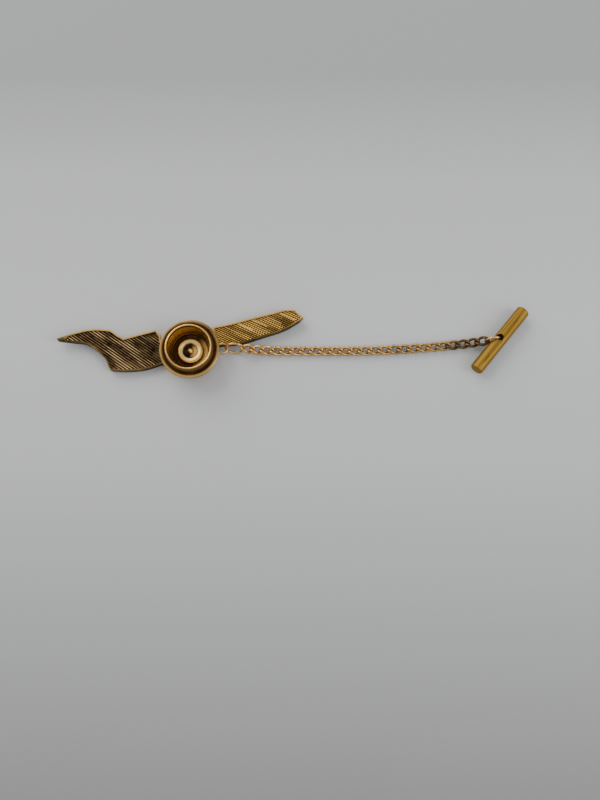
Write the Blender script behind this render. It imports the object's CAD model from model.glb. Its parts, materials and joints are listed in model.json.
import json
import math

import bmesh
import bpy
import numpy as np
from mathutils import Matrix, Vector


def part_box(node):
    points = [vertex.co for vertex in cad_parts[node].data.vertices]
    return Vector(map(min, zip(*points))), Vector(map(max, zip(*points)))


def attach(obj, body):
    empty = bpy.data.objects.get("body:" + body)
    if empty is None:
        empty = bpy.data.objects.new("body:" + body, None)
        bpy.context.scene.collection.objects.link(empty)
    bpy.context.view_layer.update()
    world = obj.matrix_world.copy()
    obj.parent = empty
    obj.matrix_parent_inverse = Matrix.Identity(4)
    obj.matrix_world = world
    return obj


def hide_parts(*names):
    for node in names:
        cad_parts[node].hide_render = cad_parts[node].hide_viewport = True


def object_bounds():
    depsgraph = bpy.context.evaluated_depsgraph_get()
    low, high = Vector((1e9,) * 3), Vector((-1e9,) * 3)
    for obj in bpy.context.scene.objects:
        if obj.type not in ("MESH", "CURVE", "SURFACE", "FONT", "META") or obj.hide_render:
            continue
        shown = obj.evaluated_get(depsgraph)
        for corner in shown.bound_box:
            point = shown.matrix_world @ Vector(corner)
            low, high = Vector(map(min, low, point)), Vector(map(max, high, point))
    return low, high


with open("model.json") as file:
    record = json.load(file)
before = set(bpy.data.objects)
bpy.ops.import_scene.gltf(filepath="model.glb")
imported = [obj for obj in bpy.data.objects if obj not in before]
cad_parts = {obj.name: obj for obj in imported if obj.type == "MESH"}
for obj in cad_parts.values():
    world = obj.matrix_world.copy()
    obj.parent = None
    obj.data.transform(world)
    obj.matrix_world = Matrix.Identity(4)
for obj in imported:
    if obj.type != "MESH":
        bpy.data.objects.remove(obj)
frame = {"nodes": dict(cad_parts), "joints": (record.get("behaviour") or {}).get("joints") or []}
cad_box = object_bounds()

# ---------------------------------------------------------------- table top, camera and light
# The pin lies face down on a pale matt table, seen from almost straight above, under one broad soft light that stands
# beyond it to the left and a weak one on the right.
MM = 0.001

camera_data = bpy.data.cameras.new("camera")
camera_data.sensor_fit = "VERTICAL"
camera_data.sensor_height = 36
camera_data.lens = 33.3
camera_data.clip_start = 0.004
camera = bpy.data.objects.new("camera", camera_data)
bpy.context.scene.collection.objects.link(camera)
aim = Vector((19.79 * MM, -8.51 * MM, 0))
raised = math.radians(77.8)
camera.location = aim + 134.4 * MM * Vector((0, -math.cos(raised), math.sin(raised)))
camera.rotation_euler = (math.radians(90) - raised, 0, 0)
bpy.context.scene.camera = camera


def put(tree, kind, inputs=None, **settings):
    """Adds a node with its settings, and fills or links its inputs."""
    node = tree.nodes.new(kind)
    for key, value in settings.items():
        setattr(node, key, value)
    for key, value in (inputs or {}).items():
        if isinstance(value, bpy.types.NodeSocket):
            tree.links.new(value, node.inputs[key])
        else:
            node.inputs[key].default_value = value
    return node


def blank_material(name):
    material = bpy.data.materials.new(name)
    material.use_nodes = True
    material.node_tree.nodes.clear()
    return material


def matt_table():
    material = blank_material("matt_table")
    tree = material.node_tree
    place = put(tree, "ShaderNodeTexCoord").outputs["Object"]
    across = put(tree, "ShaderNodeSeparateXYZ", {0: place}).outputs["Y"]
    depth = put(tree, "ShaderNodeMapRange", {"Value": across, "From Min": -0.075, "From Max": 0.058})
    ramp = put(tree, "ShaderNodeValToRGB", {0: depth.outputs[0]})
    stops = ramp.color_ramp
    stops.elements[0].position = 0.0
    stops.elements[0].color = (0.24, 0.235, 0.23, 1)
    stops.elements[1].position = 1.0
    stops.elements[1].color = (0.32, 0.32, 0.32, 1)
    for position, shade in ((0.22, 0.34), (0.42, 0.44), (0.60, 0.475), (0.82, 0.44)):
        stops.elements.new(position).color = (shade, shade, shade * 0.99, 1)
    speck = put(tree, "ShaderNodeTexNoise", {"Vector": place, "Scale": 900.0, "Detail": 4.0})
    bump = put(tree, "ShaderNodeBump", {"Height": speck.outputs[0], "Strength": 0.05, "Distance": 0.0001})
    surface = put(tree, "ShaderNodeBsdfPrincipled", {
        "Base Color": ramp.outputs[0], "Roughness": 0.85, "Specular IOR Level": 0.2, "Normal": bump.outputs[0]})
    put(tree, "ShaderNodeOutputMaterial", {0: surface.outputs[0]})
    return material


table_mesh = bpy.data.meshes.new("table")
half = 2.0
table_mesh.from_pydata([(-half, -half, 0), (half, -half, 0), (half, half, 0), (-half, half, 0)], [], [(0, 1, 2, 3)])
table_mesh.materials.append(matt_table())
table = bpy.data.objects.new("table", table_mesh)
table.location.z = cad_box[0][2] - 0.02 * MM
bpy.context.scene.collection.objects.link(table)


def soft_light(name, at, size, power, colour):
    data = bpy.data.lights.new(name, "AREA")
    data.shape = "RECTANGLE"
    data.size, data.size_y = size
    data.energy = power
    data.color = colour
    light = bpy.data.objects.new(name, data)
    light.location = at
    light.rotation_euler = (aim - Vector(at)).to_track_quat("-Z", "Y").to_euler()
    bpy.context.scene.collection.objects.link(light)


soft_light("window", (-0.32, 0.38, 0.36), (0.62, 0.46), 3.4, (1.0, 0.98, 0.95))
soft_light("fill", (0.42, -0.12, 0.30), (0.25, 0.35), 1.3, (0.95, 0.97, 1.0))

world = bpy.data.worlds.new("room")
world.use_nodes = True
world.node_tree.nodes["Background"].inputs["Color"].default_value = (0.80, 0.82, 0.85, 1)
world.node_tree.nodes["Background"].inputs["Strength"].default_value = 0.98
bpy.context.scene.world = world

# ---------------------------------------------------------------- wing plate
# One die-struck brass plate carries both wings, with a raised polished border round a sunk field of fine feather
# ribs. The gilding is dark in the recesses and bright along the border.


def worn_gilt_group():
    """Gilding that is bright where Tone is high and dark with age where it is low."""
    group = bpy.data.node_groups.new("worn_gilt", "ShaderNodeTree")
    face = group.interface
    for name, kind, value in (
        ("Tone", "NodeSocketFloat", 0.8),
        ("Gilt", "NodeSocketColor", (0.7, 0.5, 0.2, 1)),
        ("Patina", "NodeSocketColor", (0.05, 0.03, 0.02, 1)),
        ("Copper", "NodeSocketColor", (0.6, 0.35, 0.2, 1)),
        ("Unevenness", "NodeSocketFloat", 0.35),
        ("Blotch Scale", "NodeSocketFloat", 420.0),
    ):
        face.new_socket(name, in_out="INPUT", socket_type=kind).default_value = value
    face.new_socket("Colour", in_out="OUTPUT", socket_type="NodeSocketColor")
    face.new_socket("Roughness", in_out="OUTPUT", socket_type="NodeSocketFloat")
    face.new_socket("Height", in_out="OUTPUT", socket_type="NodeSocketFloat")
    given = put(group, "NodeGroupInput").outputs
    place = put(group, "ShaderNodeTexCoord").outputs["Object"]
    blotch = put(group, "ShaderNodeTexNoise", {
        "Vector": place, "Scale": given["Blotch Scale"], "Detail": 3.0, "Roughness": 0.6})
    fine = put(group, "ShaderNodeTexNoise", {"Vector": place, "Scale": 3600.0, "Detail": 2.0})
    swing = put(group, "ShaderNodeMath", {0: blotch.outputs[0], 1: 0.5}, operation="SUBTRACT")
    swing = put(group, "ShaderNodeMath", {0: swing.outputs[0], 1: given["Unevenness"]}, operation="MULTIPLY")
    tone = put(group, "ShaderNodeMath", {0: given["Tone"], 1: swing.outputs[0]}, operation="ADD", use_clamp=True)
    base = put(group, "ShaderNodeMix", {0: tone.outputs[0], 6: given["Patina"], 7: given["Gilt"]}, data_type="RGBA")
    redder = put(group, "ShaderNodeTexNoise", {"Vector": place, "Scale": 640.0, "Detail": 2.0, "Distortion": 0.6})
    redder = put(group, "ShaderNodeMapRange", {
        "Value": redder.outputs[0], "From Min": 0.52, "From Max": 0.68, "To Max": 0.55})
    redder = put(group, "ShaderNodeMath", {0: redder.outputs[0], 1: tone.outputs[0]}, operation="MULTIPLY")
    colour = put(group, "ShaderNodeMix", {
        0: redder.outputs[0], 6: base.outputs[2], 7: given["Copper"]}, data_type="RGBA")
    rough = put(group, "ShaderNodeMapRange", {"Value": tone.outputs[0], "To Min": 0.52, "To Max": 0.20})
    rub = put(group, "ShaderNodeMath", {0: fine.outputs[0], 1: 0.12}, operation="MULTIPLY")
    rough = put(group, "ShaderNodeMath", {0: rough.outputs[0], 1: rub.outputs[0]}, operation="ADD")
    height = put(group, "ShaderNodeMath", {0: fine.outputs[0], 1: blotch.outputs[0]}, operation="ADD")
    put(group, "NodeGroupOutput", {"Colour": colour.outputs[2], "Roughness": rough.outputs[0],
                                   "Height": height.outputs[0]})
    return group


worn_gilt = worn_gilt_group()


def use_group(tree, group, inputs):
    node = tree.nodes.new("ShaderNodeGroup")
    node.node_tree = group
    for key, value in inputs.items():
        if isinstance(value, bpy.types.NodeSocket):
            tree.links.new(value, node.inputs[key])
        else:
            node.inputs[key].default_value = value
    return node


def gilt(name, gilt_colour, patina_colour, copper_colour, uneven=0.35, blotch=420.0, bump_depth=0.00002, coat=0.0):
    """A gilt brass finish whose tone is stored on each piece."""
    material = blank_material(name)
    tree = material.node_tree
    tone = put(tree, "ShaderNodeAttribute", attribute_name="tone").outputs["Fac"]
    metal = use_group(tree, worn_gilt, {
        "Tone": tone, "Gilt": (*gilt_colour, 1), "Patina": (*patina_colour, 1), "Copper": (*copper_colour, 1),
        "Unevenness": uneven, "Blotch Scale": blotch})
    bump = put(tree, "ShaderNodeBump", {"Height": metal.outputs["Height"], "Strength": 0.35, "Distance": bump_depth})
    surface = put(tree, "ShaderNodeBsdfPrincipled", {
        "Base Color": metal.outputs["Colour"], "Roughness": metal.outputs["Roughness"],
        "Metallic": 1.0, "Coat Weight": coat, "Normal": bump.outputs[0]})
    put(tree, "ShaderNodeOutputMaterial", {0: surface.outputs[0]})
    return material


def set_tone(mesh, values):
    layer = mesh.attributes.get("tone") or mesh.attributes.new("tone", "FLOAT", "POINT")
    layer.data.foreach_set("value", np.asarray(values, np.float32))


def points_of(mesh):
    co = np.empty(len(mesh.vertices) * 3, np.float32)
    mesh.vertices.foreach_get("co", co)
    return co.reshape(-1, 3).astype(float)


def softened(name, node, width, segments=3):
    """A clean copy of a CAD node with its sharp edges rounded, as a struck or drawn piece has them."""
    mesh = bpy.data.meshes.new(name)
    shape = bmesh.new()
    shape.from_mesh(frame["nodes"][node].data)
    bmesh.ops.remove_doubles(shape, verts=shape.verts, dist=1e-6)
    bmesh.ops.dissolve_limit(shape, angle_limit=math.radians(0.5), verts=shape.verts, edges=shape.edges)
    for face in shape.faces:
        face.smooth = True
    shape.to_mesh(mesh)
    shape.free()
    piece = bpy.data.objects.new(name, mesh)
    bpy.context.scene.collection.objects.link(piece)
    round_off = piece.modifiers.new("round_off", "BEVEL")
    round_off.width = width
    round_off.segments = segments
    round_off.limit_method = "ANGLE"
    round_off.angle_limit = math.radians(28)
    even = piece.modifiers.new("even", "WEIGHTED_NORMAL")
    even.keep_sharp = False
    seen = bpy.context.evaluated_depsgraph_get()
    finished = bpy.data.meshes.new_from_object(piece.evaluated_get(seen), depsgraph=seen)
    piece.modifiers.clear()
    piece.data = finished
    finished.name = name
    return piece


rise = math.radians(2.6)
wings = {
    "left": {"root": Vector((-5.25 * MM, 0, 0)), "up": Vector((math.sin(rise), 0, math.cos(rise)))},
    "right": {"root": Vector((3.65 * MM, 0, 0)), "up": Vector((-math.sin(rise), 0, math.cos(rise)))},
}
field_level = 0.85 * MM
border_level = 1.2 * MM


def wing_heights(points):
    """Height of each point above the front face of the wing that it belongs to."""
    heights = points[:, 2].copy()
    for side, wing in wings.items():
        outward = points[:, 0] < wing["root"].x if side == "left" else points[:, 0] > wing["root"].x
        heights[outward] = (points[outward] - np.array(wing["root"])) @ np.array(wing["up"])
    return heights


plate = softened("struck_wing_plate", "wing_plate", 0.09 * MM)
heights = wing_heights(points_of(plate.data))
tones = np.interp(heights, [0.0, 0.5 * MM, 0.8 * MM, field_level, border_level - 0.08 * MM, border_level],
                  [0.5, 0.45, 0.2, 0.0, 0.55, 0.85])
# the left wing's tip and the lower borders have gone brown with age
plate_points = points_of(plate.data) / MM
tones *= np.interp(plate_points[:, 0], [-24.5, -21.5, -17.0, -6.0, 3.0], [0.3, 0.6, 0.95, 0.8, 0.9])
middle_line = np.interp(plate_points[:, 0], [-24.5, -20.0, -17.0, -14.5, -6.0, 3.7, 9.8, 16.2, 20.5],
                        [2.4, 2.9, 2.5, 0.6, -1.5, 3.1, 4.2, 5.9, 6.62])
tones = np.where(plate_points[:, 1] < middle_line, tones * 0.2, tones)
set_tone(plate.data, tones)
plate.data.materials.append(gilt("struck_gilt", (0.68, 0.43, 0.12), (0.010, 0.005, 0.002), (0.60, 0.28, 0.10)))
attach(plate, "pin")
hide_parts("wing_plate")

# ---------------------------------------------------------------- feather ribs
# The ribs are struck with the plate as half-round ridges that run slantwise across each sunk field from border to
# border. On the left wing they are smooth and polished on top; on the right they are cut across into fine beads.


def field_triangles(side):
    """The plan triangles of a wing's sunk field, from the plate itself."""
    wing = wings[side]
    mesh = frame["nodes"]["wing_plate"].data
    points = points_of(mesh)
    heights = wing_heights(points)
    found = []
    for face in mesh.polygons:
        corners = list(face.vertices)
        beyond = all(points[i, 0] < wing["root"].x for i in corners) if side == "left" else all(
            points[i, 0] > wing["root"].x for i in corners)
        if beyond and face.normal.dot(wing["up"]) > 0.999 and all(abs(heights[i] - field_level) < 0.02 * MM
                                                                 for i in corners):
            found.append(points[corners][:, :2])
    return found


def crossings(triangles, along, side_step):
    """Where a straight line at side_step from the origin runs over the triangles, as stretches along it."""
    across = np.array([-along[1], along[0]])
    pieces = []
    for corners in triangles:
        off = corners @ across - side_step
        reach = corners @ along
        cuts = []
        for a, b in ((0, 1), (1, 2), (2, 0)):
            if (off[a] < 0) != (off[b] < 0):
                share = off[a] / (off[a] - off[b])
                cuts.append(reach[a] + share * (reach[b] - reach[a]))
        if len(cuts) == 2:
            pieces.append(sorted(cuts))
    pieces.sort()
    merged = []
    for low, high in pieces:
        if merged and low <= merged[-1][1] + 0.01 * MM:
            merged[-1][1] = max(merged[-1][1], high)
        else:
            merged.append([low, high])
    return merged


def rib_lines(name, side, slant, spacing, sunk):
    """A mesh with one edge for each rib of a wing's field."""
    wing = wings[side]
    triangles = field_triangles(side)
    along = np.array([math.cos(slant), math.sin(slant)])
    across = np.array([-along[1], along[0]])
    corners = np.concatenate(triangles)
    low, high = (corners @ across).min(), (corners @ across).max()
    points, edges = [], []
    step = low + spacing / 2
    while step < high:
        for start, end in crossings(triangles, along, step):
            if end - start > 0.3 * MM:
                for reach in (start - 0.06 * MM, end + 0.06 * MM):
                    x, y = along * reach + across * step
                    z = (field_level - sunk - (x - wing["root"].x) * wing["up"].x) / wing["up"].z
                    points.append((x, y, z))
                edges.append((len(points) - 2, len(points) - 1))
        step += spacing
    mesh = bpy.data.meshes.new(name)
    mesh.from_pydata(points, edges, [])
    return mesh


def feather_rib_tree():
    """Turns rib lines into half-sunk ridges that swell and dip a little, or are cut into beads."""
    tree = bpy.data.node_groups.new("feather_ribs", "GeometryNodeTree")
    face = tree.interface
    face.new_socket("Lines", in_out="INPUT", socket_type="NodeSocketGeometry")
    for name, kind, value in (
        ("Rib Radius", "NodeSocketFloat", 0.00015), ("Step", "NodeSocketFloat", 0.0005),
        ("Waver", "NodeSocketFloat", 0.00002), ("Bead Pitch", "NodeSocketFloat", 0.00045),
        ("Bead Depth", "NodeSocketFloat", 0.0), ("Tone", "NodeSocketFloat", 0.9),
    ):
        face.new_socket(name, in_out="INPUT", socket_type=kind).default_value = value
    face.new_socket("Finish", in_out="INPUT", socket_type="NodeSocketMaterial")
    face.new_socket("Ribs", in_out="OUTPUT", socket_type="NodeSocketGeometry")
    given = put(tree, "NodeGroupInput").outputs
    curve = put(tree, "GeometryNodeMeshToCurve", {0: given["Lines"]})
    curve = put(tree, "GeometryNodeResampleCurve", {
        "Curve": curve.outputs[0], "Length": given["Step"]}, mode="LENGTH")
    place = put(tree, "GeometryNodeInputPosition").outputs[0]
    swell = put(tree, "ShaderNodeTexNoise", {"Vector": place, "Scale": 520.0, "Detail": 2.0})
    lift = put(tree, "ShaderNodeMath", {0: swell.outputs[0], 1: 0.5}, operation="SUBTRACT")
    lift = put(tree, "ShaderNodeMath", {0: lift.outputs[0], 1: given["Waver"]}, operation="MULTIPLY")
    shift = put(tree, "ShaderNodeCombineXYZ", {2: lift.outputs[0]})
    curve = put(tree, "GeometryNodeSetPosition", {"Geometry": curve.outputs[0], "Offset": shift.outputs[0]})
    length = put(tree, "GeometryNodeSplineParameter").outputs["Length"]
    turn = put(tree, "ShaderNodeMath", {0: length, 1: given["Bead Pitch"]}, operation="DIVIDE")
    turn = put(tree, "ShaderNodeMath", {0: turn.outputs[0], 1: math.tau}, operation="MULTIPLY")
    wave = put(tree, "ShaderNodeMath", {0: turn.outputs[0]}, operation="SINE")
    wave = put(tree, "ShaderNodeMath", {0: wave.outputs[0], 1: given["Bead Depth"]}, operation="MULTIPLY")
    thick = put(tree, "ShaderNodeMath", {0: 1.0, 1: wave.outputs[0]}, operation="ADD")
    curve = put(tree, "GeometryNodeSetCurveRadius", {"Curve": curve.outputs[0], "Radius": thick.outputs[0]})
    section = put(tree, "GeometryNodeCurvePrimitiveCircle", {"Resolution": 8, "Radius": given["Rib Radius"]})
    ridge = put(tree, "GeometryNodeCurveToMesh", {
        "Curve": curve.outputs[0], "Profile Curve": section.outputs[0], "Scale": thick.outputs[0], "Fill Caps": True})
    ridge = put(tree, "GeometryNodeSetShadeSmooth", {"Geometry": ridge.outputs[0]})
    ridge = put(tree, "GeometryNodeStoreNamedAttribute", {
        "Geometry": ridge.outputs[0], "Name": "tone", "Value": given["Tone"]}, data_type="FLOAT", domain="POINT")
    ridge = put(tree, "GeometryNodeRealizeInstances", {0: ridge.outputs[0]})
    ridge = put(tree, "GeometryNodeSetMaterial", {"Geometry": ridge.outputs[0], "Material": given["Finish"]})
    put(tree, "NodeGroupOutput", {0: ridge.outputs[0]})
    return tree


def grown(name, tree, inputs, lines=None):
    """A plain mesh piece made by a tree of Geometry Nodes with its named inputs."""
    piece = bpy.data.objects.new(name, lines or bpy.data.meshes.new(name + "_start"))
    bpy.context.scene.collection.objects.link(piece)
    maker = piece.modifiers.new(tree.name, "NODES")
    maker.node_group = tree
    sockets = {s.name: s.identifier for s in tree.interface.items_tree
               if s.item_type == "SOCKET" and s.in_out == "INPUT"}
    for key, value in inputs.items():
        maker[sockets[key]] = value
    seen = bpy.context.evaluated_depsgraph_get()
    mesh = bpy.data.meshes.new_from_object(piece.evaluated_get(seen), preserve_all_data_layers=True, depsgraph=seen)
    piece.modifiers.remove(maker)
    mesh.name = name
    piece.data = mesh
    return piece


def banded_gilt(name, gilt_colour, patina_colour, copper_colour, slant, share_bright, uneven=0.5):
    """Gilt ribs whose tops darken in broad bands that run with the feathers."""
    material = blank_material(name)
    tree = material.node_tree
    tone = put(tree, "ShaderNodeAttribute", attribute_name="tone").outputs["Fac"]
    place = put(tree, "ShaderNodeTexCoord").outputs["Object"]
    turned = put(tree, "ShaderNodeMapping", {
        "Vector": place, "Rotation": (0, 0, slant), "Scale": (1 / 110, 1 / 620, 1 / 110)}, vector_type="TEXTURE")
    band = put(tree, "ShaderNodeTexNoise", {"Vector": turned.outputs[0], "Scale": 1.0, "Detail": 2.0})
    band = put(tree, "ShaderNodeMapRange", {
        "Value": band.outputs[0], "From Min": 0.62 - share_bright * 0.3, "From Max": 0.80 - share_bright * 0.3,
        "To Min": 0.12, "To Max": 1.0})
    tone = put(tree, "ShaderNodeMath", {0: tone, 1: band.outputs[0]}, operation="MULTIPLY")
    metal = use_group(tree, worn_gilt, {
        "Tone": tone.outputs[0], "Gilt": (*gilt_colour, 1), "Patina": (*patina_colour, 1),
        "Copper": (*copper_colour, 1), "Unevenness": uneven, "Blotch Scale": 900.0})
    bump = put(tree, "ShaderNodeBump", {"Height": metal.outputs["Height"], "Strength": 0.3, "Distance": 0.00002})
    surface = put(tree, "ShaderNodeBsdfPrincipled", {
        "Base Color": metal.outputs["Colour"], "Roughness": metal.outputs["Roughness"],
        "Metallic": 1.0, "Normal": bump.outputs[0]})
    put(tree, "ShaderNodeOutputMaterial", {0: surface.outputs[0]})
    return material


feather_ribs = feather_rib_tree()
left_slant = math.radians(-34)
left_ribs = grown("feather_ribs_left", feather_ribs, {
    "Rib Radius": 0.105 * MM, "Step": 0.6 * MM, "Waver": 0.05 * MM, "Bead Depth": 0.0, "Tone": 0.9,
    "Finish": banded_gilt("rib_gilt_left", (1.0, 0.68, 0.32), (0.020, 0.010, 0.005), (0.80, 0.42, 0.26),
                          left_slant, 0.55)},
    rib_lines("left_rib_lines", "left", left_slant, 0.43 * MM, 0.0))
right_slant = math.radians(-26)
right_ribs = grown("feather_ribs_right", feather_ribs, {
    "Rib Radius": 0.13 * MM, "Step": 0.11 * MM, "Waver": 0.03 * MM, "Bead Pitch": 0.45 * MM, "Bead Depth": 0.35,
    "Tone": 0.9,
    "Finish": banded_gilt("rib_gilt_right", (0.68, 0.42, 0.11), (0.13, 0.075, 0.020), (0.64, 0.34, 0.12),
                          right_slant, 0.85, 0.3)},
    rib_lines("right_rib_lines", "right", right_slant, 0.36 * MM, 0.0))
# five raised quills part the feathers of the right wing, each from the top border down across the ribs
quill_points, quill_edges = [], []
for start_x in (5.9, 8.4, 11.0, 13.6, 16.1):
    start_y = float(np.interp(start_x, [3.7, 6.8, 10.4, 14.6, 17.0], [4.95, 5.5, 6.45, 7.45, 8.05])) - 0.3
    for reach in (0.0, 3.1):
        x, y = start_x + reach * math.cos(right_slant), start_y + reach * math.sin(right_slant)
        lift = (0.93 * MM - (x * MM - wings["right"]["root"].x) * wings["right"]["up"].x) / wings["right"]["up"].z
        quill_points.append((x * MM, y * MM, lift))
    quill_edges.append((len(quill_points) - 2, len(quill_points) - 1))
quill_lines = bpy.data.meshes.new("quill_lines")
quill_lines.from_pydata(quill_points, quill_edges, [])
quills = grown("feather_quills_right", feather_ribs, {
    "Rib Radius": 0.105 * MM, "Step": 0.4 * MM, "Waver": 0.02 * MM, "Bead Depth": 0.0, "Tone": 1.0,
    "Finish": gilt("quill_gilt", (0.88, 0.60, 0.20), (0.05, 0.03, 0.01), (0.80, 0.48, 0.18), 0.2, 900.0)}, quill_lines)
for ribs in (left_ribs, right_ribs, quills):
    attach(ribs, "pin")

# ---------------------------------------------------------------- post
# A turned brass post with a soldered foot stands on the back of the plate. It is plain polished gilt, with faint
# drawing marks along its length.


def plain_gilt(name, colour, roughness):
    material = blank_material(name)
    tree = material.node_tree
    metal = use_group(tree, worn_gilt, {
        "Tone": 0.85, "Gilt": (*colour, 1), "Patina": (0.08, 0.05, 0.03, 1), "Copper": (0.75, 0.48, 0.26, 1),
        "Unevenness": 0.3, "Blotch Scale": 700.0})
    bump = put(tree, "ShaderNodeBump", {"Height": metal.outputs["Height"], "Strength": 0.3, "Distance": 0.00001})
    surface = put(tree, "ShaderNodeBsdfPrincipled", {
        "Base Color": metal.outputs["Colour"], "Roughness": roughness, "Metallic": 1.0, "Normal": bump.outputs[0]})
    put(tree, "ShaderNodeOutputMaterial", {0: surface.outputs[0]})
    return material


def dress(node, material):
    """Gives a CAD node its finish."""
    part = frame["nodes"][node]
    part.data.materials.clear()
    part.data.materials.append(material)


dress("post", plain_gilt("post_gilt", (0.85, 0.64, 0.30), 0.22))

# ---------------------------------------------------------------- clutch base
# The base is a turned brass disc that bears on the cloth. Its rounded rim shows from the side, and the taper that
# wedges the balls is inside.


def spun(name, profile, steps=144, crease=38):
    """A spun or turned piece from (radius, height, tone) in millimetres round its half section."""
    shape = bmesh.new()
    tone = shape.verts.layers.float.new("tone")
    rings = []
    for radius, height, value in profile:
        ring = []
        for i in range(1 if radius < 1e-6 else steps):
            turn = math.tau * i / steps
            vert = shape.verts.new((radius * math.cos(turn) * MM, radius * math.sin(turn) * MM, height * MM))
            vert[tone] = value
            ring.append(vert)
        rings.append(ring)
    for low, high in zip(rings, rings[1:] + rings[:1]):
        if len(low) == 1 and len(high) == 1:
            continue
        for i in range(steps):
            j = (i + 1) % steps
            corners = [low[i % len(low)], low[j % len(low)], high[j % len(high)], high[i % len(high)]]
            corners = list(dict.fromkeys(corners))
            shape.faces.new(corners).smooth = True
    bmesh.ops.recalc_face_normals(shape, faces=shape.faces)
    mesh = bpy.data.meshes.new(name)
    shape.to_mesh(mesh)
    shape.free()
    mesh.set_sharp_from_angle(angle=math.radians(crease))
    piece = bpy.data.objects.new(name, mesh)
    bpy.context.scene.collection.objects.link(piece)
    return piece


def rounded(centre, radius, start, end, tone, steps=8):
    """Profile points round part of a circle, angles in degrees."""
    turns = [math.radians(start + (end - start) * i / steps) for i in range(steps + 1)]
    return [(centre[0] + radius * math.cos(t), centre[1] + radius * math.sin(t), tone) for t in turns]


clutch_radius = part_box("clutch_shell")[1].x / MM
wall_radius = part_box("clutch_base")[1].x / MM
base_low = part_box("clutch_base")[0].z / MM
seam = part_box("clutch_shell")[0].z / MM
clutch_base = spun("turned_clutch_base", [
    (0.6, base_low, 0.4), (4.1, base_low, 0.6), (4.2, base_low + 0.02, 0.7),
    (wall_radius - 0.2, seam - 0.3, 0.7), *rounded((wall_radius - 0.1, seam - 0.12), 0.1, -60, 0, 0.8, 4),
    (wall_radius, seam - 0.03, 0.8), (wall_radius - 0.03, seam, 0.3),
    (wall_radius - 0.27, seam, 0.2), (wall_radius - 0.27, seam + 0.35, 0.2), (3.65, seam + 0.35, 0.2),
    (3.65, 1.45, 0.3), (1.115, 1.45, 0.5), (0.985, 0.9, 0.5), (0.6, 0.9, 0.4),
])


def spun_gilt(name, gilt_colour, patina_colour, copper_colour, uneven, ring_depth, copper_scale=420.0):
    """Gilt over spun or turned metal, with faint rings left by the tool."""
    material = blank_material(name)
    tree = material.node_tree
    tone = put(tree, "ShaderNodeAttribute", attribute_name="tone").outputs["Fac"]
    metal = use_group(tree, worn_gilt, {
        "Tone": tone, "Gilt": (*gilt_colour, 1), "Patina": (*patina_colour, 1), "Copper": (*copper_colour, 1),
        "Unevenness": uneven, "Blotch Scale": copper_scale})
    place = put(tree, "ShaderNodeTexCoord").outputs["Object"]
    flat = put(tree, "ShaderNodeVectorMath", {0: place, 1: (1, 1, 0)}, operation="MULTIPLY")
    radius = put(tree, "ShaderNodeVectorMath", {0: flat.outputs[0]}, operation="LENGTH").outputs["Value"]
    up = put(tree, "ShaderNodeSeparateXYZ", {0: place}).outputs["Z"]
    run = put(tree, "ShaderNodeMath", {0: radius, 1: up}, operation="SUBTRACT")
    rings = put(tree, "ShaderNodeTexNoise", {"W": run.outputs[0], "Scale": 9000.0, "Detail": 2.0},
                noise_dimensions="1D")
    lines = put(tree, "ShaderNodeBump", {"Height": rings.outputs[0], "Strength": 0.5, "Distance": ring_depth})
    bump = put(tree, "ShaderNodeBump", {
        "Height": metal.outputs["Height"], "Strength": 0.25, "Distance": 0.00002, "Normal": lines.outputs[0]})
    surface = put(tree, "ShaderNodeBsdfPrincipled", {
        "Base Color": metal.outputs["Colour"], "Roughness": metal.outputs["Roughness"],
        "Metallic": 1.0, "Normal": bump.outputs[0]})
    put(tree, "ShaderNodeOutputMaterial", {0: surface.outputs[0]})
    return material


shell_gilt = spun_gilt("shell_gilt", (0.74, 0.47, 0.14), (0.045, 0.016, 0.008), (0.62, 0.29, 0.12), 0.30, 0.000006)
clutch_base.data.materials.append(shell_gilt)
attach(clutch_base, "clutch")
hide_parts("clutch_base")

# ---------------------------------------------------------------- clutch shell
# The shell is spun from thin brass: a rounded brim, a dark groove, a cup wall that leans in to a thin rolled rim, a
# steep dish and a well in which the knob stands. Dirt has settled in its grooves and in the well.

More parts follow.
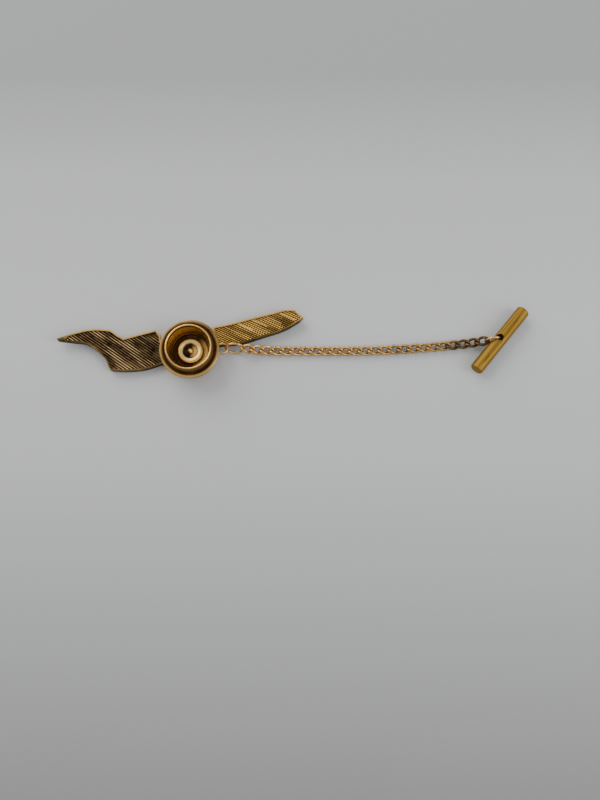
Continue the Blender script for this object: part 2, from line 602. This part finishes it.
rim_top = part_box("clutch_shell")[1].z / MM
brim_top = 4.2
cup = clutch_radius - 1.4
lip = 3.2
well_floor = 2.2
clutch_shell = spun("spun_clutch_shell", [
    (wall_radius, seam + 0.02, 0.3), (wall_radius, seam + 0.2, 0.6), (wall_radius, brim_top - 0.72, 0.5),
    (wall_radius + 0.05, brim_top - 0.63, 0.4), (clutch_radius - 0.3, brim_top - 0.5, 0.6),
    *rounded((clutch_radius - 0.2, brim_top - 0.25), 0.2, -60, 100, 0.7, 12),
    (clutch_radius - 0.36, brim_top - 0.035, 0.6), (clutch_radius - 0.48, brim_top - 0.06, 0.25),
    (clutch_radius - 0.70, brim_top - 0.12, 0.1), (clutch_radius - 0.80, brim_top - 0.22, 0.0),
    (clutch_radius - 0.92, brim_top - 0.20, 0.0), (cup + 0.42, brim_top, 0.12), (cup + 0.33, brim_top + 0.35, 0.30),
    (cup + 0.25, rim_top - 0.67, 0.34), (cup + 0.19, rim_top - 0.45, 0.30), (cup + 0.16, rim_top - 0.30, 0.5),
    *rounded((cup, rim_top - 0.15), 0.15, 0, 30, 0.35, 3), *rounded((cup, rim_top - 0.15), 0.15, 50, 180, 0.98, 9),
    (cup - 0.155, rim_top - 0.24, 0.2), (cup - 0.17, rim_top - 0.36, 0.03), (cup - 0.20, rim_top - 0.52, 0.1),
    (cup - 0.24, rim_top - 0.72, 0.7), (cup - 0.28, rim_top - 0.92, 0.9), (cup - 0.34, rim_top - 1.25, 1.0),
    (cup - 0.42, rim_top - 1.62, 1.0), (cup - 0.50, rim_top - 1.95, 1.0), (cup - 0.58, rim_top - 2.22, 1.0),
    (cup - 0.66, rim_top - 2.5, 1.0), (lip + 0.06, 2.87, 1.0), (lip, 2.78, 0.7), (lip - 0.06, 2.62, 0.05),
    (lip - 0.08, 2.4, 0.0), (lip - 0.10, well_floor + 0.03, 0.0), (lip - 0.15, well_floor, 0.0),
    (1.34, well_floor, 0.0), (1.32, well_floor - 0.02, 0.05), (1.32, well_floor - 0.15, 0.2),
    (3.55, well_floor - 0.15, 0.2), (lip + 0.3, 2.8, 0.2), (cup - 0.32, rim_top - 2.12, 0.2),
    (cup - 0.18, rim_top - 1.52, 0.2), (cup - 0.05, rim_top - 0.82, 0.2), (cup + 0.02, rim_top - 0.52, 0.2),
    (cup + 0.12, rim_top - 1.02, 0.2), (cup + 0.22, brim_top - 0.10, 0.2), (cup + 0.30, brim_top - 0.42, 0.2),
    (wall_radius - 0.25, brim_top - 0.55, 0.2), (wall_radius - 0.25, seam, 0.2), (wall_radius - 0.02, seam, 0.3),
])
# fingers have rubbed the right side of the well clean, while the left side is still black
shell_points = points_of(clutch_shell.data) / MM
shell_radius = np.hypot(shell_points[:, 0], shell_points[:, 1])
floor_top = (shell_radius < lip) & (shell_points[:, 2] > well_floor - 0.01) & (shell_points[:, 2] < 2.75)
facing_right = np.cos(np.arctan2(shell_points[:, 1], shell_points[:, 0]) + math.radians(12))
tones = np.empty(len(shell_points), np.float32)
clutch_shell.data.attributes["tone"].data.foreach_get("value", tones)
tones[floor_top] += 0.35 * np.clip((facing_right[floor_top] - 0.35) / 0.4, 0, 1)
on_brim = (shell_radius > cup + 0.85) & (shell_points[:, 2] > brim_top - 0.6)
round_turn = np.degrees(np.arctan2(shell_points[:, 1], shell_points[:, 0])) % 360
tones[on_brim] *= np.interp(round_turn[on_brim], [0, 45, 100, 150, 200, 240, 290, 330, 360],
                            [0.55, 0.35, 0.65, 0.55, 0.5, 0.8, 0.9, 0.8, 0.55])
set_tone(clutch_shell.data, tones)
clutch_shell.data.materials.append(shell_gilt)
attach(clutch_shell, "clutch")
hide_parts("clutch_shell")

# ---------------------------------------------------------------- clutch loop
# A small wire loop is soldered to the clutch's wall to carry the chain. It is drawn gilt wire bent round, with its
# two ends buried in the solder.


def wire_ring_tree():
    """A ring bent from round wire, open by a hair where its ends meet."""
    tree = bpy.data.node_groups.new("wire_ring", "GeometryNodeTree")
    face = tree.interface
    face.new_socket("Start", in_out="INPUT", socket_type="NodeSocketGeometry")
    for name, kind, value in (
        ("Ring Radius", "NodeSocketFloat", 0.001), ("Wire Radius", "NodeSocketFloat", 0.0002),
        ("Seam", "NodeSocketFloat", 0.02), ("Seam At", "NodeSocketFloat", 0.0),
        ("Centre", "NodeSocketVector", (0, 0, 0)), ("Turn", "NodeSocketVector", (0, 0, 0)),
        ("Tone", "NodeSocketFloat", 0.85),
    ):
        face.new_socket(name, in_out="INPUT", socket_type=kind).default_value = value
    face.new_socket("Finish", in_out="INPUT", socket_type="NodeSocketMaterial")
    face.new_socket("Ring", in_out="OUTPUT", socket_type="NodeSocketGeometry")
    given = put(tree, "NodeGroupInput").outputs
    sweep = put(tree, "ShaderNodeMath", {0: math.tau, 1: given["Seam"]}, operation="SUBTRACT")
    bent = put(tree, "GeometryNodeCurveArc", {
        "Resolution": 72, "Radius": given["Ring Radius"], "Start Angle": given["Seam At"],
        "Sweep Angle": sweep.outputs[0]}, mode="RADIUS")
    section = put(tree, "GeometryNodeCurvePrimitiveCircle", {"Resolution": 20, "Radius": given["Wire Radius"]})
    wire = put(tree, "GeometryNodeCurveToMesh", {
        "Curve": bent.outputs[0], "Profile Curve": section.outputs[0], "Fill Caps": True})
    wire = put(tree, "GeometryNodeSetShadeSmooth", {"Geometry": wire.outputs[0]})
    turn = put(tree, "FunctionNodeEulerToRotation", {0: given["Turn"]})
    wire = put(tree, "GeometryNodeTransform", {
        "Geometry": wire.outputs[0], "Translation": given["Centre"], "Rotation": turn.outputs[0]})
    wire = put(tree, "GeometryNodeStoreNamedAttribute", {
        "Geometry": wire.outputs[0], "Name": "tone", "Value": given["Tone"]}, data_type="FLOAT", domain="POINT")
    wire = put(tree, "GeometryNodeRealizeInstances", {0: wire.outputs[0]})
    wire = put(tree, "GeometryNodeSetMaterial", {"Geometry": wire.outputs[0], "Material": given["Finish"]})
    put(tree, "NodeGroupOutput", {0: wire.outputs[0]})
    return tree


wire_ring = wire_ring_tree()
wire_gilt = gilt("wire_gilt", (0.68, 0.42, 0.13), (0.05, 0.028, 0.012), (0.70, 0.34, 0.15), 0.5, 900.0, 0.000012)
joints = {joint["name"]: joint for joint in frame["joints"]}
loop_outer = Vector(joints["jump_ring_swing"]["pos_m"])
loop_turn = math.atan2(loop_outer.y, loop_outer.x)
loop_ring_radius = 0.95 * MM
loop_centre = loop_outer - loop_ring_radius * Vector((math.cos(loop_turn), math.sin(loop_turn), 0))
buried = math.radians(64)
clutch_loop = grown("clutch_wire_loop", wire_ring, {
    "Ring Radius": loop_ring_radius, "Wire Radius": 0.2 * MM, "Seam": 2 * buried,
    "Seam At": loop_turn - math.pi + buried, "Centre": loop_centre, "Tone": 0.75, "Finish": wire_gilt})
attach(clutch_loop, "clutch")
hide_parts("clutch_loop")

# ---------------------------------------------------------------- spring, cage and balls
# Inside the clutch a conical spring of steel wire presses the brass cage down, so that the taper wedges three hard
# steel balls against the post. They show only when the clutch is looked into from below.


def bright_steel(name, colour, roughness):
    material = blank_material(name)
    tree = material.node_tree
    place = put(tree, "ShaderNodeTexCoord").outputs["Object"]
    film = put(tree, "ShaderNodeTexNoise", {"Vector": place, "Scale": 1500.0, "Detail": 3.0})
    shade = put(tree, "ShaderNodeMix", {
        0: film.outputs[0], 6: (*[c * 0.7 for c in colour], 1), 7: (*colour, 1)}, data_type="RGBA")
    bump = put(tree, "ShaderNodeBump", {"Height": film.outputs[0], "Strength": 0.2, "Distance": 0.00001})
    surface = put(tree, "ShaderNodeBsdfPrincipled", {
        "Base Color": shade.outputs[2], "Roughness": roughness, "Metallic": 1.0, "Normal": bump.outputs[0]})
    put(tree, "ShaderNodeOutputMaterial", {0: surface.outputs[0]})
    return material


dress("clutch_spring", bright_steel("spring_steel", (0.50, 0.50, 0.52), 0.35))
dress("locking_balls", bright_steel("ball_steel", (0.66, 0.66, 0.68), 0.12))
dress("ball_cage", plain_gilt("cage_brass", (0.70, 0.52, 0.25), 0.35))

# ---------------------------------------------------------------- release knob
# The knob is a small turned cap in the middle of the well. It has a smooth domed ring, a recess inside it and a round
# nub in the middle; fingers have kept its top bright.

knob_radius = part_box("release_knob")[1].x / MM
knob_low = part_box("release_knob")[0].z / MM
nub_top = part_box("release_knob")[1].z / MM
crown_radius = 0.4
crown = (knob_radius - crown_radius, 2.48)
knob = spun("turned_release_knob", [
    (0.0, knob_low, 0.3), (knob_radius - 0.12, knob_low, 0.3), (knob_radius - 0.03, knob_low + 0.03, 0.3),
    (knob_radius, knob_low + 0.12, 0.4), *rounded(crown, crown_radius, 0, 130, 0.85, 16),
    (1.5, 2.79, 0.7), (1.42, 2.74, 0.45), (1.3, 2.66, 0.16), (1.2, 2.54, 0.06), (1.14, 2.48, 0.03),
    (0.8, 2.46, 0.03), (0.6, 2.46, 0.05), (0.52, 2.55, 0.3),
    *rounded((0, nub_top - 0.46), 0.46, 8, 90, 0.9, 10)[:-1], (0.0, nub_top, 0.9),
])
# the nub and the slope round it are rubbed bright on the right side only
knob_points = points_of(knob.data) / MM
inside = (np.hypot(knob_points[:, 0], knob_points[:, 1]) < 1.45) & (knob_points[:, 2] > 2.4)
tones = np.empty(len(knob_points), np.float32)
knob.data.attributes["tone"].data.foreach_get("value", tones)
turned_right = np.cos(np.arctan2(knob_points[:, 1], knob_points[:, 0]) + 0.2)
tones[inside] = np.where(turned_right[inside] > 0, np.clip(tones[inside] + 0.5 * turned_right[inside], 0, 1),
                         tones[inside] * 0.5)
set_tone(knob.data, tones)
knob.data.materials.append(spun_gilt(
    "knob_gilt", (0.84, 0.58, 0.22), (0.010, 0.005, 0.002), (0.80, 0.48, 0.20), 0.15, 0.000004))
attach(knob, "plunger")
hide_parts("release_knob")

# ---------------------------------------------------------------- jump ring
# An open ring of gilt wire joins the clutch's loop to the first chain link. It leans almost upright, with the cut
# ends of its wire pinched together on top.

jump_low, jump_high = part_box("jump_ring")
jump_centre = (jump_low + jump_high) / 2
jump_wire = 0.19 * MM
jump_lean = math.radians(78)
jump_radius = (jump_high.x - jump_low.x) / 2 - jump_wire
jump_ring = grown("jump_wire_ring", wire_ring, {
    "Ring Radius": jump_radius, "Wire Radius": jump_wire, "Seam": 0.03, "Seam At": math.radians(70),
    "Centre": jump_centre, "Turn": (jump_lean, 0, 0), "Tone": 0.8, "Finish": wire_gilt})
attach(jump_ring, "jump_ring")
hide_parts("jump_ring")

# ---------------------------------------------------------------- chain links
# Each curb link is a loop of round brass wire given a quarter twist, so that the links hook through each other and
# lie flat. The gilding is bright on the first links and has worn and blackened towards the toggle bar.


def curb_link_tree():
    """A twisted oval loop of wire, placed by the middle of the link and the way that it points."""
    tree = bpy.data.node_groups.new("curb_link", "GeometryNodeTree")
    face = tree.interface
    face.new_socket("Start", in_out="INPUT", socket_type="NodeSocketGeometry")
    for name, kind, value in (
        ("Length", "NodeSocketFloat", 0.0023), ("Width", "NodeSocketFloat", 0.00146),
        ("Twist", "NodeSocketFloat", math.pi / 2), ("Wire Radius", "NodeSocketFloat", 0.00024),
        ("Centre", "NodeSocketVector", (0, 0, 0)), ("Turn", "NodeSocketVector", (0, 0, 0)),
        ("Tone", "NodeSocketFloat", 0.85),
    ):
        face.new_socket(name, in_out="INPUT", socket_type=kind).default_value = value
    face.new_socket("Finish", in_out="INPUT", socket_type="NodeSocketMaterial")
    face.new_socket("Link", in_out="OUTPUT", socket_type="NodeSocketGeometry")
    given = put(tree, "NodeGroupInput").outputs

    def calc(operation, first, second=0.0):
        return put(tree, "ShaderNodeMath", {0: first, 1: second}, operation=operation).outputs[0]

    loop = put(tree, "GeometryNodeCurvePrimitiveCircle", {"Resolution": 64, "Radius": 0.001})
    turn = calc("MULTIPLY", put(tree, "GeometryNodeInputIndex").outputs[0], math.tau / 64)
    forward, sideways = calc("COSINE", turn), calc("SINE", turn)
    reach = calc("MULTIPLY", calc("MULTIPLY", given["Length"], 0.5), forward)
    full = calc("MULTIPLY", calc("SIGN", sideways), calc("POWER", calc("ABSOLUTE", sideways), 0.8))
    side = calc("MULTIPLY", calc("MULTIPLY", given["Width"], 0.5), full)
    lean = calc("SINE", calc("MULTIPLY", forward, math.pi / 2))
    lean = calc("MULTIPLY", calc("MULTIPLY", given["Twist"], 0.5), lean)
    place = put(tree, "ShaderNodeCombineXYZ", {
        0: reach, 1: calc("MULTIPLY", side, calc("COSINE", lean)), 2: calc("MULTIPLY", side, calc("SINE", lean))})
    loop = put(tree, "GeometryNodeSetPosition", {"Geometry": loop.outputs[0], "Position": place.outputs[0]})
    section = put(tree, "GeometryNodeCurvePrimitiveCircle", {"Resolution": 14, "Radius": given["Wire Radius"]})
    wire = put(tree, "GeometryNodeCurveToMesh", {"Curve": loop.outputs[0], "Profile Curve": section.outputs[0]})
    wire = put(tree, "GeometryNodeSetShadeSmooth", {"Geometry": wire.outputs[0]})
    heading = put(tree, "FunctionNodeEulerToRotation", {0: given["Turn"]})
    wire = put(tree, "GeometryNodeTransform", {
        "Geometry": wire.outputs[0], "Translation": given["Centre"], "Rotation": heading.outputs[0]})
    wire = put(tree, "GeometryNodeStoreNamedAttribute", {
        "Geometry": wire.outputs[0], "Name": "tone", "Value": given["Tone"]}, data_type="FLOAT", domain="POINT")
    wire = put(tree, "GeometryNodeRealizeInstances", {0: wire.outputs[0]})
    wire = put(tree, "GeometryNodeSetMaterial", {"Geometry": wire.outputs[0], "Material": given["Finish"]})
    put(tree, "NodeGroupOutput", {0: wire.outputs[0]})
    return tree


curb_link = curb_link_tree()
chain_gilt = gilt("chain_gilt", (0.66, 0.40, 0.12), (0.028, 0.016, 0.009), (0.72, 0.30, 0.13), 0.55, 1100.0, 0.000012)
link_wire = 0.26 * MM
link_pitch = 1.797 * MM
link_play = 0.03 * MM
link_width = 1.34 * MM
link_length = link_pitch + 2 * link_wire + link_play
link_names = sorted(n for n in frame["nodes"] if n.startswith("chain_link_"))
for number, name in enumerate(link_names, 1):
    points = points_of(frame["nodes"][name].data)
    points = np.unique(np.round(points, 8), axis=0)
    middle = points.mean(axis=0)
    lengthwise = np.linalg.svd(points - middle)[2][0]
    lengthwise = lengthwise * np.sign(lengthwise[0])
    if number > 21:
        tone = 0.16
    elif number in (16, 17, 18, 20, 21):
        tone = 0.5
    else:
        tone = 0.82 - 0.012 * number
    link = grown("curb_link_%02d" % number, curb_link, {
        "Length": link_length, "Width": link_width, "Twist": math.pi / 2, "Wire Radius": link_wire,
        "Centre": Vector(middle),
        "Turn": (0, -math.asin(lengthwise[2]), math.atan2(lengthwise[1], lengthwise[0])),
        "Tone": tone, "Finish": chain_gilt})
    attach(link, name)
    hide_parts(name)

# ---------------------------------------------------------------- end ring
# The last ring stands upright through the bar's hole and the last link. It is gilt wire like the jump ring, rubbed to
# a warmer colour.

end_low, end_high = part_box("end_ring")
end_centre = (end_low + end_high) / 2
end_wire = 0.23 * MM
end_radius = (end_high.z - end_low.z) / 2 - end_wire
bar_hinge = Vector(joints["bar_fold"]["pos_m"])
end_yaw = math.atan2(bar_hinge.y - end_centre.y, bar_hinge.x - end_centre.x)
end_ring = grown("end_wire_ring", wire_ring, {
    "Ring Radius": end_radius, "Wire Radius": end_wire, "Seam": 0.04, "Seam At": math.radians(110),
    "Centre": end_centre, "Turn": (math.pi / 2, 0, end_yaw), "Tone": 0.85,
    "Finish": gilt("end_ring_gilt", (0.70, 0.42, 0.16), (0.05, 0.03, 0.018), (0.70, 0.38, 0.18), 0.4, 900.0, 0.000012)})
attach(end_ring, "end_ring")
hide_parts("end_ring")

# ---------------------------------------------------------------- toggle bar
# The bar is cut from drawn brass rod, with its ends bevelled, and drilled across near its middle. Its surface keeps
# the fine lines of drawing, and the gilding has turned a warm amber.


def drawn_brass(name, colour, patina, slant):
    material = blank_material(name)
    tree = material.node_tree
    tone = put(tree, "ShaderNodeAttribute", attribute_name="tone").outputs["Fac"]
    place = put(tree, "ShaderNodeTexCoord").outputs["Object"]
    turned = put(tree, "ShaderNodeMapping", {
        "Vector": place, "Rotation": (0, 0, slant), "Scale": (1 / 160, 1 / 7000, 1 / 7000)}, vector_type="TEXTURE")
    lines = put(tree, "ShaderNodeTexNoise", {"Vector": turned.outputs[0], "Scale": 1.0, "Detail": 3.0})
    streak = put(tree, "ShaderNodeMath", {0: lines.outputs[0], 1: 0.5}, operation="SUBTRACT")
    streak = put(tree, "ShaderNodeMath", {0: streak.outputs[0], 1: 0.35}, operation="MULTIPLY")
    tone = put(tree, "ShaderNodeMath", {0: tone, 1: streak.outputs[0]}, operation="ADD")
    metal = use_group(tree, worn_gilt, {
        "Tone": tone.outputs[0], "Gilt": (*colour, 1), "Patina": (*patina, 1), "Copper": (0.30, 0.145, 0.022, 1),
        "Unevenness": 0.3, "Blotch Scale": 380.0})
    rough = put(tree, "ShaderNodeMath", {0: metal.outputs["Roughness"], 1: 0.22}, operation="ADD")
    grain = put(tree, "ShaderNodeBump", {"Height": lines.outputs[0], "Strength": 0.5, "Distance": 0.000008})
    bump = put(tree, "ShaderNodeBump", {
        "Height": metal.outputs["Height"], "Strength": 0.2, "Distance": 0.00002, "Normal": grain.outputs[0]})
    surface = put(tree, "ShaderNodeBsdfPrincipled", {
        "Base Color": metal.outputs["Colour"], "Roughness": rough.outputs[0], "Metallic": 1.0,
        "Normal": bump.outputs[0]})
    put(tree, "ShaderNodeOutputMaterial", {0: surface.outputs[0]})
    return material


bar_slant = math.radians(50.3)
bar = softened("drawn_toggle_bar", "toggle_bar", 0.1 * MM)
bar_points = points_of(bar.data)
ring_past_hole = 0.25 * MM
dark_reach = 0.67 * MM
hole = np.array([bar_hinge.x, bar_hinge.y]) - ring_past_hole * np.array([math.cos(end_yaw), math.sin(end_yaw)])
from_hole = np.hypot(bar_points[:, 0] - hole[0], bar_points[:, 1] - hole[1])
set_tone(bar.data, np.where(from_hole < dark_reach, 0.12, 0.8))
bar.data.materials.append(drawn_brass("drawn_brass", (0.30, 0.175, 0.028), (0.05, 0.025, 0.006), bar_slant))
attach(bar, "toggle_bar")
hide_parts("toggle_bar")
